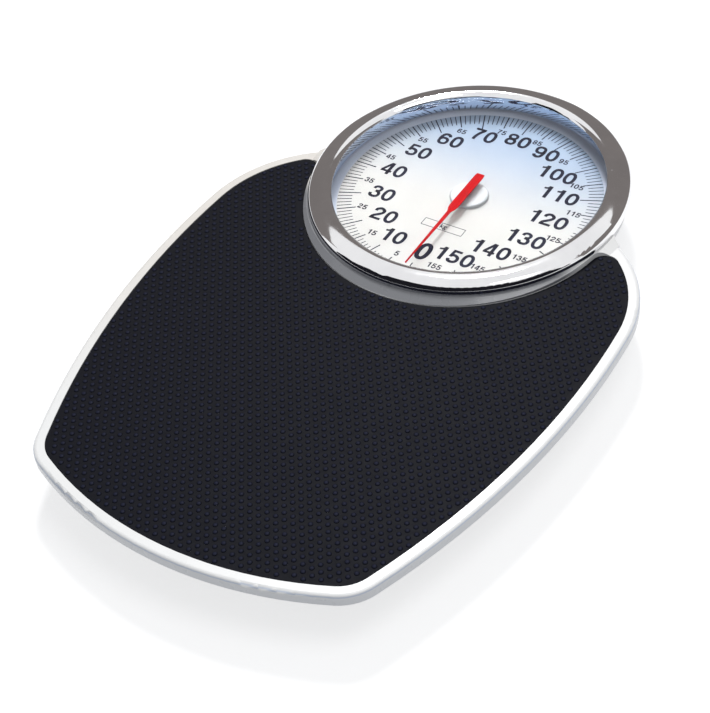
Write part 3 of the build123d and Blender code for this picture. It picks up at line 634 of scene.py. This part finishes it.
def bumpTree():
    tree, make, join, start, end = newGeometryTree("mat bumps", {
        "Mat": "Object", "Dome": "Object", "Pitch X": "Float", "Pitch Y": "Float",
        "Width": "Float", "Length": "Float", "Columns": "Int", "Rows": "Int",
        "Centre": "Vector", "Edge Gap": "Float", "Ray Lift": "Vector", "Ray Reach": "Float",
        "Material": "Material",
    })
    mat = make("GeometryNodeObjectInfo")
    join(start.outputs["Mat"], mat.inputs["Object"])
    # side walls of the mat alone, to measure how near its edge a point is
    normal = make("GeometryNodeInputNormal")
    split = make("ShaderNodeSeparateXYZ")
    steep = make("ShaderNodeMath")
    steep.operation = "ABSOLUTE"
    level = make("FunctionNodeCompare")
    level.operation = "GREATER_THAN"
    level.inputs["B"].default_value = 0.5    # top and bottom faces go
    walls = make("GeometryNodeDeleteGeometry")
    walls.domain = "FACE"
    join(normal.outputs["Normal"], split.inputs["Vector"])
    join(split.outputs["Z"], steep.inputs[0])
    join(steep.outputs["Value"], level.inputs["A"])
    join(mat.outputs["Geometry"], walls.inputs["Geometry"])
    join(level.outputs["Result"], walls.inputs["Selection"])
    # two square grids, the second one half a pitch over and up
    grids = make("GeometryNodeJoinGeometry")
    half = make("ShaderNodeCombineXYZ")
    for label, axis in (("Pitch X", "X"), ("Pitch Y", "Y")):
        halved = make("ShaderNodeMath")
        halved.operation = "MULTIPLY"
        halved.inputs[1].default_value = 0.5
        join(start.outputs[label], halved.inputs[0])
        join(halved.outputs["Value"], half.inputs[axis])
    for shifted in (False, True):
        grid = make("GeometryNodeMeshGrid")
        join(start.outputs["Width"], grid.inputs["Size X"])
        join(start.outputs["Length"], grid.inputs["Size Y"])
        join(start.outputs["Columns"], grid.inputs["Vertices X"])
        join(start.outputs["Rows"], grid.inputs["Vertices Y"])
        place = make("GeometryNodeTransform")
        join(grid.outputs["Mesh"], place.inputs["Geometry"])
        if shifted:
            join(half.outputs["Vector"], place.inputs["Translation"])
        join(place.outputs["Geometry"], grids.inputs["Geometry"])
    centred = make("GeometryNodeTransform")
    join(grids.outputs["Geometry"], centred.inputs["Geometry"])
    join(start.outputs["Centre"], centred.inputs["Translation"])
    # a bump stays if the mat is under it and its edge isn't too near
    here = make("GeometryNodeInputPosition")
    ray = make("GeometryNodeRaycast")
    ray.inputs["Ray Direction"].default_value = (0, 0, -1)
    above = make("ShaderNodeVectorMath")
    join(start.outputs["Ray Reach"], ray.inputs["Ray Length"])
    join(here.outputs["Position"], above.inputs[0])
    join(start.outputs["Ray Lift"], above.inputs[1])
    join(mat.outputs["Geometry"], ray.inputs["Target Geometry"])
    join(above.outputs["Vector"], ray.inputs["Source Position"])
    near = make("GeometryNodeProximity")
    join(walls.outputs["Geometry"], near.inputs["Geometry"])
    clear = make("FunctionNodeCompare")
    clear.operation = "GREATER_THAN"
    join(near.outputs["Distance"], clear.inputs["A"])
    join(start.outputs["Edge Gap"], clear.inputs["B"])
    both = make("FunctionNodeBooleanMath")
    both.operation = "AND"
    join(ray.outputs["Is Hit"], both.inputs[0])
    join(clear.outputs["Result"], both.inputs[1])
    dome = make("GeometryNodeObjectInfo")
    join(start.outputs["Dome"], dome.inputs["Object"])
    spread = make("GeometryNodeInstanceOnPoints")
    join(centred.outputs["Geometry"], spread.inputs["Points"])
    join(both.outputs["Boolean"], spread.inputs["Selection"])
    join(dome.outputs["Geometry"], spread.inputs["Instance"])
    real = make("GeometryNodeRealizeInstances")
    coat = make("GeometryNodeSetMaterial")
    join(spread.outputs["Instances"], real.inputs["Geometry"])
    join(real.outputs["Geometry"], coat.inputs["Geometry"])
    join(start.outputs["Material"], coat.inputs["Material"])
    join(coat.outputs["Geometry"], end.inputs["Geometry"])
    return tree


def bakeModifier(piece, name):
    # the evaluated result becomes the piece's plain mesh, and the modifier goes
    bpy.context.view_layer.update()
    graph = bpy.context.evaluated_depsgraph_get()
    mesh = bpy.data.meshes.new_from_object(piece.evaluated_get(graph))
    mesh.name = name
    piece.modifiers.clear()
    piece.data = mesh


def makeBumps():
    s = bumps
    low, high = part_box("platform_mat")
    columns = math.ceil((high.x - low.x) / s["pitchX"]) // 2 * 2 + 1
    rows = math.ceil((high.y - low.y) / s["pitchY"]) // 2 * 2 + 1
    dome = newObject("domeSource", domeMesh("dome", s))
    piece = newObject("mat_bumps", bpy.data.meshes.new("mat_bumps"))
    tree = bumpTree()
    modifier = piece.modifiers.new("bumps", "NODES")
    modifier.node_group = tree
    setInputs(modifier, tree, {
        "Mat": cadNodes["platform_mat"],
        "Dome": dome,
        "Pitch X": s["pitchX"],
        "Pitch Y": s["pitchY"],
        "Width": (columns - 1) * s["pitchX"],
        "Length": (rows - 1) * s["pitchY"],
        "Columns": columns,
        "Rows": rows,
        "Centre": ((low.x + high.x) / 2, (low.y + high.y) / 2, matTop),
        "Edge Gap": s["edgeGap"],
        "Ray Lift": (0.0, 0.0, s["rayLift"]),
        "Ray Reach": s["rayReach"],
        "Material": materials["mat_rubber"],
    })
    bakeModifier(piece, "mat_bumps")
    bpy.data.objects.remove(dome)
    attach(piece, "platform")
    print("mat bumps:", len(piece.data.polygons), "faces")


makeBumps()

# The dial's marks and numbers, printed with a little thickness
dialPrint = {
    "thickness": 0.00006,
    "sunk": 0.00002,
    "fullTurn": 160,          # kilograms in one turn
    "tickOuter": 0.0883,
    "tenInner": 0.0730,
    "fiveInner": 0.0756,
    "oneInner": 0.0785,
    "tenWidth": 0.00082,
    "oneWidth": 0.00058,
    "bigHeight": 0.0124,
    "zeroHeight": 0.0164,     # the lone 0 is bigger and narrower
    "zeroShare": 0.84,
    "smallHeight": 0.0046,
    "smallRadius": 0.0710,
    "frameWidth": 0.0300,
    "frameHeight": 0.0066,
    "frameLine": 0.00042,
    "framePlace": (0.0, -0.0342),         # its middle, from the axis
    # the unit's letters, in shares of the frame's height
    "wordSize": 0.85,
    "wordBolder": 0.015,
    "wordDrop": 0.2,
}

# where each big number's middle stands: millimetres from the axis, and degrees clockwise
# from the user's side
bigPlaces = {
    0: (60.4, -0.8), 10: (61.2, 23.8), 20: (57.8, 45.1), 30: (58.7, 67.9), 40: (60.2, 92.4),
    50: (61.3, 116.1), 60: (62.6, 138.5), 70: (65.4, 159.5), 80: (66.0, 180.8), 90: (66.3, 202.0),
    100: (61.3, 222.7), 110: (59.1, 243.5), 120: (57.7, 268.2), 130: (57.5, 291.7),
    140: (55.7, 316.2), 150: (60.2, 339.5),
}

# each digit on a box 1 high, as strokes: kind, width, and the points of its middle line
# or, for a ring, its middle and half sizes; a 9 is a 6 turned round
digitWidth = 0.68
digitStep = 0.775             # from one digit's left side to the next one's
strokes = {
    "0": [("ring", 0.19, (0.34, 0.5), (0.243, 0.408))],
    "1": [
        ("line", 0.205, (0.445, 0.0), (0.445, 1.0)),
        ("smooth", 0.13, (0.115, 0.765), (0.26, 0.785), (0.365, 0.86), (0.40, 0.985)),
    ],
    "2": [
        ("smooth", 0.185, (0.108, 0.645), (0.13, 0.80), (0.33, 0.908), (0.55, 0.79), (0.54, 0.60),
         (0.36, 0.41), (0.17, 0.25), (0.115, 0.10)),
        ("line", 0.17, (0.02, 0.085), (0.66, 0.085)),
    ],
    "3": [
        ("smooth", 0.175, (0.118, 0.70), (0.16, 0.845), (0.33, 0.912), (0.52, 0.83), (0.52, 0.66),
         (0.42, 0.565), (0.28, 0.545)),
        ("smooth", 0.185, (0.28, 0.545), (0.45, 0.51), (0.575, 0.36), (0.53, 0.16), (0.33, 0.088),
         (0.14, 0.16), (0.103, 0.32)),
    ],
    "4": [
        ("line", 0.19, (0.485, 0.0), (0.485, 1.0)),
        ("line", 0.155, (0.02, 0.275), (0.67, 0.275)),
        ("line", 0.165, (0.435, 0.975), (0.085, 0.30)),
    ],
    "5": [
        ("line", 0.165, (0.13, 0.917), (0.61, 0.917)),
        ("line", 0.165, (0.185, 0.98), (0.125, 0.43)),
        ("smooth", 0.185, (0.125, 0.475), (0.22, 0.575), (0.38, 0.59), (0.565, 0.45), (0.555, 0.19),
         (0.34, 0.088), (0.15, 0.14), (0.10, 0.285)),
    ],
    "6": [
        ("ring", 0.175, (0.345, 0.325), (0.237, 0.240)),
        ("smooth", 0.185, (0.100, 0.36), (0.105, 0.60), (0.19, 0.84), (0.36, 0.912), (0.52, 0.85),
         (0.575, 0.73)),
    ],
    "7": [
        ("line", 0.17, (0.03, 0.915), (0.65, 0.915)),
        ("smooth", 0.19, (0.575, 0.88), (0.41, 0.64), (0.30, 0.34), (0.265, 0.0)),
    ],
    "8": [
        ("ring", 0.165, (0.34, 0.735), (0.213, 0.183)),
        ("ring", 0.180, (0.34, 0.298), (0.240, 0.208)),
    ],
}


def smoothLine(points, steps=6):
    # an even curve through given points
    final = len(points) - 1
    result = []
    for span in range(final):
        corner = [points[min(max(span + offset, 0), final)] for offset in (-1, 0, 1, 2)]
        for step in range(steps):
            t = step / steps
            weights = (
                (-t + 2 * t**2 - t**3) / 2,
                (2 - 5 * t**2 + 3 * t**3) / 2,
                (t + 4 * t**2 - 3 * t**3) / 2,
                (-t**2 + t**3) / 2,
            )
            result.append(tuple(sum(w * p[k] for w, p in zip(weights, corner)) for k in (0, 1)))
    result.append(points[-1])
    return result


def superRing(centre, half, count=32, power=2.35):
    # an upright oval, a little squarer than an ellipse
    line = []
    for index in range(count):
        angle = 2 * math.pi * index / count
        c, d = math.cos(angle), math.sin(angle)
        x = math.copysign(abs(c) ** (2 / power), c) * half[0]
        y = math.copysign(abs(d) ** (2 / power), d) * half[1]
        line.append((centre[0] + x, centre[1] + y))
    return line


def ribbon(line, width, closed, place, scale, low, high, points, faces):
    # a flat closed strip of even width along a line
    count = len(line)
    first = len(points)
    for index, (x, y) in enumerate(line):
        before = line[index - 1] if index or closed else line[0]
        after = line[(index + 1) % count] if index < count - 1 or closed else line[-1]
        along = Vector((after[0] - before[0], after[1] - before[1])).normalized()
        across = Vector((-along.y, along.x)) * width / 2
        for side, level in ((1, low), (-1, low), (-1, high), (1, high)):
            points.append((
                place[0] + scale * (x + side * across.x),
                place[1] + scale * (y + side * across.y),
                level,
            ))
    spans = count if closed else count - 1
    for index in range(spans):
        here = first + 4 * index
        there = first + 4 * ((index + 1) % count)
        for a, b in ((0, 1), (1, 2), (2, 3), (3, 0)):
            faces.append((here + a, here + b, there + b, there + a))
    if not closed:
        faces.append((first + 3, first + 2, first + 1, first))
        last = first + 4 * (count - 1)
        faces.append((last, last + 1, last + 2, last + 3))


def addNumber(text, centre, height, points, faces, share=1.0):
    # share below 1 makes a number narrower than it would be
    low = dialTop - dialPrint["sunk"]
    high = dialTop + dialPrint["thickness"]
    width = (digitStep * (len(text) - 1) + digitWidth * share) * height
    for index, digit in enumerate(text):
        left = centre[0] - width / 2 + index * digitStep * height
        base = centre[1] - height / 2
        for kind, thick, *line in strokes["6" if digit == "9" else digit]:
            path = superRing(*line) if kind == "ring" else line
            if kind == "smooth":
                path = smoothLine(line)
            if digit == "9":
                path = [(digitWidth - x, 1 - y) for x, y in path]
            path = [(x * share, y) for x, y in path]
            ribbon(path, thick, kind == "ring", (left, base), height, low, high, points, faces)


def dialPoint(degrees, radius):
    # clockwise from the user's side
    angle = math.radians(degrees)
    return axisX - radius * math.sin(angle), axisY - radius * math.cos(angle)


def makeNumbers():
    s = dialPrint
    points = []
    faces = []
    for kilograms in range(0, s["fullTurn"], 5):
        text = str(kilograms)
        if kilograms % 10:
            centre = dialPoint(360 * kilograms / s["fullTurn"], s["smallRadius"])
            addNumber(text, centre, s["smallHeight"], points, faces)
            continue
        radius, turn = bigPlaces[kilograms]
        centre = dialPoint(turn, radius / 1000)
        if kilograms:
            addNumber(text, centre, s["bigHeight"], points, faces)
        else:
            addNumber(text, centre, s["zeroHeight"], points, faces, s["zeroShare"])
    piece = newObject("dial_numbers", meshFrom("dial_numbers", points, faces))
    paint(piece, materials["dial_ink"])
    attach(piece, "base")
    print("dial numbers:", len(faces), "faces")


def tickTree():
    tree, make, join, start, end = newGeometryTree("dial ticks", {
        "Count": "Int", "Leave Out Every": "Int", "Middle Radius": "Float",
        "Size": "Vector", "Centre": "Vector", "Material": "Material",
    })
    circle = make("GeometryNodeMeshCircle")
    join(start.outputs["Count"], circle.inputs["Vertices"])
    join(start.outputs["Middle Radius"], circle.inputs["Radius"])
    here = make("GeometryNodeInputPosition")
    turn = make("FunctionNodeAlignRotationToVector")
    turn.axis = "X"
    join(here.outputs["Position"], turn.inputs["Vector"])
    index = make("GeometryNodeInputIndex")
    share = make("ShaderNodeMath")
    share.operation = "MODULO"
    join(index.outputs["Index"], share.inputs[0])
    join(start.outputs["Leave Out Every"], share.inputs[1])
    keepIt = make("FunctionNodeCompare")
    keepIt.operation = "GREATER_THAN"
    keepIt.inputs["B"].default_value = 0.5
    join(share.outputs["Value"], keepIt.inputs["A"])
    bar = make("GeometryNodeMeshCube")
    join(start.outputs["Size"], bar.inputs["Size"])
    spread = make("GeometryNodeInstanceOnPoints")
    join(circle.outputs["Mesh"], spread.inputs["Points"])
    join(keepIt.outputs["Result"], spread.inputs["Selection"])
    join(bar.outputs["Mesh"], spread.inputs["Instance"])
    join(turn.outputs["Rotation"], spread.inputs["Rotation"])
    moved = make("GeometryNodeTransform")
    real = make("GeometryNodeRealizeInstances")
    coat = make("GeometryNodeSetMaterial")
    join(spread.outputs["Instances"], real.inputs["Geometry"])
    join(real.outputs["Geometry"], moved.inputs["Geometry"])
    join(start.outputs["Centre"], moved.inputs["Translation"])
    join(moved.outputs["Geometry"], coat.inputs["Geometry"])
    join(start.outputs["Material"], coat.inputs["Material"])
    join(coat.outputs["Geometry"], end.inputs["Geometry"])
    return tree


def makeTicks():
    s = dialPrint
    tree = tickTree()
    thick = s["thickness"] + s["sunk"]
    # places round the dial; places whose number this divides stay empty; inner end; width
    # place 0 is at 120 kg and stays empty in each row, so the dial has no long mark there
    rows = {
        "dial_ticks_ten": (16, 1000, s["tenInner"], s["tenWidth"]),
        "dial_ticks_five": (32, 2, s["fiveInner"], s["tenWidth"]),
        "dial_ticks_one": (160, 5, s["oneInner"], s["oneWidth"]),
    }
    for name, (count, leaveOut, inner, width) in rows.items():
        piece = newObject(name, bpy.data.meshes.new(name))
        modifier = piece.modifiers.new("ticks", "NODES")
        modifier.node_group = tree
        setInputs(modifier, tree, {
            "Count": count,
            "Leave Out Every": leaveOut,
            "Middle Radius": (inner + s["tickOuter"]) / 2,
            "Size": (s["tickOuter"] - inner, width, thick),
            "Centre": (axisX, axisY, dialTop + thick / 2 - s["sunk"]),
            "Material": materials["tick_ink"],
        })
        bakeModifier(piece, name)
        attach(piece, "base")
        print(name, len(piece.data.polygons), "faces")


def makeUnitFrame():
    # a thin box with the unit in it
    s = dialPrint
    points = []
    faces = []
    x, y = s["framePlace"]
    halfWidth = s["frameWidth"] / 2
    halfHeight = s["frameHeight"] / 2
    corners = [
        (-halfWidth, -halfHeight), (halfWidth, -halfHeight),
        (halfWidth, halfHeight), (-halfWidth, halfHeight),
    ]
    low = dialTop - s["sunk"]
    high = dialTop + s["thickness"]
    for index in range(4):
        line = [corners[index], corners[(index + 1) % 4]]
        ribbon(line, s["frameLine"], False, (axisX + x, axisY + y), 1, low, high, points, faces)
    piece = newObject("unit_frame", meshFrom("unit_frame", points, faces))
    paint(piece, materials["tick_ink"])
    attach(piece, "base")
    words = bpy.data.curves.new("unit_word", "FONT")
    words.body = "kg"
    words.size = s["frameHeight"] * s["wordSize"]
    words.align_x = "CENTER"
    words.offset = s["frameHeight"] * s["wordBolder"]
    words.extrude = s["thickness"] / 2
    source = newObject("wordSource", words)
    bpy.context.view_layer.update()
    graph = bpy.context.evaluated_depsgraph_get()
    mesh = bpy.data.meshes.new_from_object(source.evaluated_get(graph))
    mesh.transform(Matrix.Translation((
        axisX + x,
        axisY + y - s["frameHeight"] * s["wordDrop"],
        dialTop + s["thickness"] / 2,
    )))
    bpy.data.objects.remove(source)
    word = newObject("unit_word", mesh)
    paint(word, materials["tick_ink"])
    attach(word, "base")


makeNumbers()
makeTicks()
makeUnitFrame()
print("dial printed")

# Camera, floor and light
view = {
    "place": (0.4699, -0.62704, 0.7611),
    "aim": (0.01619, -0.04661, 0.0400),
    "roll": -7.982,           # degrees
    "lens": 86.52,            # millimetres, on a film of this width
    "filmWidth": 36,
}


def makeCamera():
    s = view
    place = Vector(s["place"])
    ahead = (Vector(s["aim"]) - place).normalized()
    right = ahead.cross(Vector((0, 0, 1))).normalized()
    above = right.cross(ahead)
    turn = math.radians(s["roll"])
    tilted = right * math.cos(turn) + above * math.sin(turn)
    upright = tilted.cross(ahead)
    data = bpy.data.cameras.new("camera")
    data.lens = s["lens"]
    data.sensor_width = s["filmWidth"]
    camera = bpy.data.objects.new("camera", data)
    camera.matrix_world = Matrix((
        (tilted.x, upright.x, -ahead.x, place.x),
        (tilted.y, upright.y, -ahead.y, place.y),
        (tilted.z, upright.z, -ahead.z, place.z),
        (0, 0, 0, 1),
    ))
    bpy.context.scene.collection.objects.link(camera)
    bpy.context.scene.camera = camera


studio = {
    "floorSize": 12.0,
    "floorRough": 0.9,
    "floorSeen": (0.45, 0.45, 0.45),
    "floorBounce": (0.50, 0.52, 0.56),    # what the object itself gets back from the floor
    "floorGlow": 0.70,
    "worldSeen": (1.0, 1.0, 1.0),
    "worldLight": (0.36, 0.37, 0.39),
    "keyPlace": (-0.95, 1.70, 2.9),
    "keySize": 0.55,
    "keyPower": 64.0,
    "topPlace": (0.7, 0.1, 2.2),
    "topSize": 1.2,
    "topPower": 12.0,
    "cardRadius": 3.0,
    "cardLean": 0.25,
    "cardSides": 72,          # of the whole circle
    "cardLevels": 24,
    # lowest and highest degrees above the floor, and how far across a direction must point
    "farCard": (1.0, 43.0, 0.05),
    "farTone": (0.215, 0.195, 0.188),
    "nearCard": (1.0, 50.0, 0.2),
    "nearTone": (0.012, 0.012, 0.016),
}


def makeFloor():
    s = studio
    half = s["floorSize"] / 2
    corners = [(-half, -half, 0), (half, -half, 0), (half, half, 0), (-half, half, 0)]
    floor = newObject("studio_floor", meshFrom("studio_floor", corners, [(0, 1, 2, 3)]))
    finish = Finish("studio_floor_paper", {"roughness": s["floorRough"], "specular": 0.0})
    path = finish.node("ShaderNodeLightPath")
    seen = finish.maths("MAXIMUM", path.outputs["Is Camera Ray"], path.outputs["Is Glossy Ray"])
    seen = finish.maths("MAXIMUM", seen, path.outputs["Is Transmission Ray"])
    finish.colour(finish.mix(seen, s["floorBounce"], s["floorSeen"]))
    finish.shader.inputs["Emission Color"].default_value = (1, 1, 1, 1)
    glow = finish.maths("MULTIPLY", seen, s["floorGlow"])
    finish.link(glow, finish.shader.inputs["Emission Strength"])
    paint(floor, finish.material)


def makeWorld():
    s = studio
    world = bpy.data.worlds.new("studio")
    bpy.context.scene.world = world
    world.use_nodes = True
    tree = world.node_tree
    make, join = tree.nodes.new, tree.links.new
    light = tree.nodes["Background"]
    light.inputs["Color"].default_value = (*s["worldLight"], 1)
    seen = make("ShaderNodeBackground")
    seen.inputs["Color"].default_value = (*s["worldSeen"], 1)
    path = make("ShaderNodeLightPath")
    either = make("ShaderNodeMath")
    either.operation = "MAXIMUM"
    anyOf = make("ShaderNodeMath")
    anyOf.operation = "MAXIMUM"
    straight = make("ShaderNodeMath")
    straight.operation = "LESS_THAN"
    straight.inputs[1].default_value = 0.5
    shown = make("ShaderNodeMath")
    shown.operation = "MULTIPLY"
    mixed = make("ShaderNodeMixShader")
    join(path.outputs["Is Camera Ray"], either.inputs[0])
    join(path.outputs["Is Glossy Ray"], either.inputs[1])
    join(either.outputs["Value"], anyOf.inputs[0])
    join(path.outputs["Is Transmission Ray"], anyOf.inputs[1])
    # light that a matt surface gathers through the lens is the plain world's
    join(path.outputs["Diffuse Depth"], straight.inputs[0])
    join(anyOf.outputs["Value"], shown.inputs[0])
    join(straight.outputs["Value"], shown.inputs[1])
    join(shown.outputs["Value"], mixed.inputs["Fac"])
    join(light.outputs["Background"], mixed.inputs[1])
    join(seen.outputs["Background"], mixed.inputs[2])
    join(mixed.outputs["Shader"], tree.nodes["World Output"].inputs["Surface"])


def makeLamp(name, place, size, power):
    data = bpy.data.lights.new(name, "AREA")
    data.shape = "DISK"
    data.size = size
    data.energy = power
    lamp = bpy.data.objects.new(name, data)
    lamp.location = place
    lamp.rotation_euler = (-Vector(place)).to_track_quat("-Z", "Y").to_euler()
    bpy.context.scene.collection.objects.link(lamp)


def makeCard(name, side, reach, tone):
    # a dull curved card that only polished faces and the lens show
    # side is 1 beyond the scale and -1 on the user's side
    s = studio
    lowest, highest, across = reach
    sides = s["cardSides"]
    levels = s["cardLevels"]
    points = []
    faces = []
    for level in range(levels + 1):
        rise = math.radians(lowest + (highest - lowest) * level / levels)
        for index in range(sides):
            angle = 2 * math.pi * index / sides
            flat = math.cos(rise)
            points.append((flat * math.cos(angle), flat * math.sin(angle), math.sin(rise)))
    for level in range(levels):
        for index in range(sides):
            after = (index + 1) % sides
            corners = [
                level * sides + index, level * sides + after,
                (level + 1) * sides + after, (level + 1) * sides + index,
            ]
            x = sum(points[corner][0] for corner in corners) / 4
            y = sum(points[corner][1] for corner in corners) / 4
            if side * (y - s["cardLean"] * x) > across:
                faces.append(corners)
    points = [tuple(s["cardRadius"] * part for part in point) for point in points]
    card = newObject(name, meshFrom(name, points, faces))
    finish = Finish(name + "_dull", {})
    glow = finish.node("ShaderNodeEmission")
    glow.inputs["Color"].default_value = (*tone, 1)
    finish.link(glow.outputs["Emission"], finish.output.inputs["Surface"])
    paint(card, finish.material)
    card.visible_camera = False
    card.visible_diffuse = False
    card.visible_shadow = False


makeCamera()
makeFloor()
makeWorld()
makeLamp("key_light", studio["keyPlace"], studio["keySize"], studio["keyPower"])
makeLamp("top_light", studio["topPlace"], studio["topSize"], studio["topPower"])
makeCard("studio_far_card", 1, studio["farCard"], studio["farTone"])
makeCard("studio_near_card", -1, studio["nearCard"], studio["nearTone"])
bpy.context.scene.view_settings.view_transform = "Standard"
print("studio ready")
